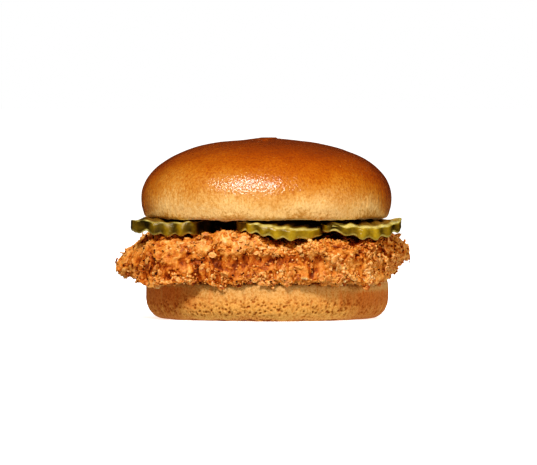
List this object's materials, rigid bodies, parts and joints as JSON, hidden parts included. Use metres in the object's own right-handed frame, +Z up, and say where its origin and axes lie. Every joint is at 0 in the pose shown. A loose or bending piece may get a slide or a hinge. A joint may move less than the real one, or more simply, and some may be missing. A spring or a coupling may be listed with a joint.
{
  "type": "chicken burger",
  "caption": "Fried chicken burger: breaded fillet and crinkle-cut pickle slices in a glazed round bun.",
  "frame": {"origin": "middle of the flat base of the bun's heel, on the bun's axis, where the burger stands", "axes": "+Z up through the stack; +X along the longer side of the fillet; -Y towards the side where all three pickle slices show"},
  "size_m": [0.1185, 0.1034, 0.0723],
  "materials": {
    "crown_crust": "glazed golden-brown bun crust, darker on top and pale at the skirt",
    "heel_crust": "matt pale-golden bun crust with fine open pores",
    "breading": "craggy deep-fried breading with flakes, crumbs and specks of pepper",
    "pickle": "wet crinkle-cut gherkin, dark green skin and paler flesh"
  },
  "bodies": {
    "root": {"bun_crown": "crown_crust", "bun_heel": "heel_crust", "chicken_fillet": "breading", "pickle_left": "pickle", "pickle_centre": "pickle", "pickle_right": "pickle"}
  },
  "joints": []
}
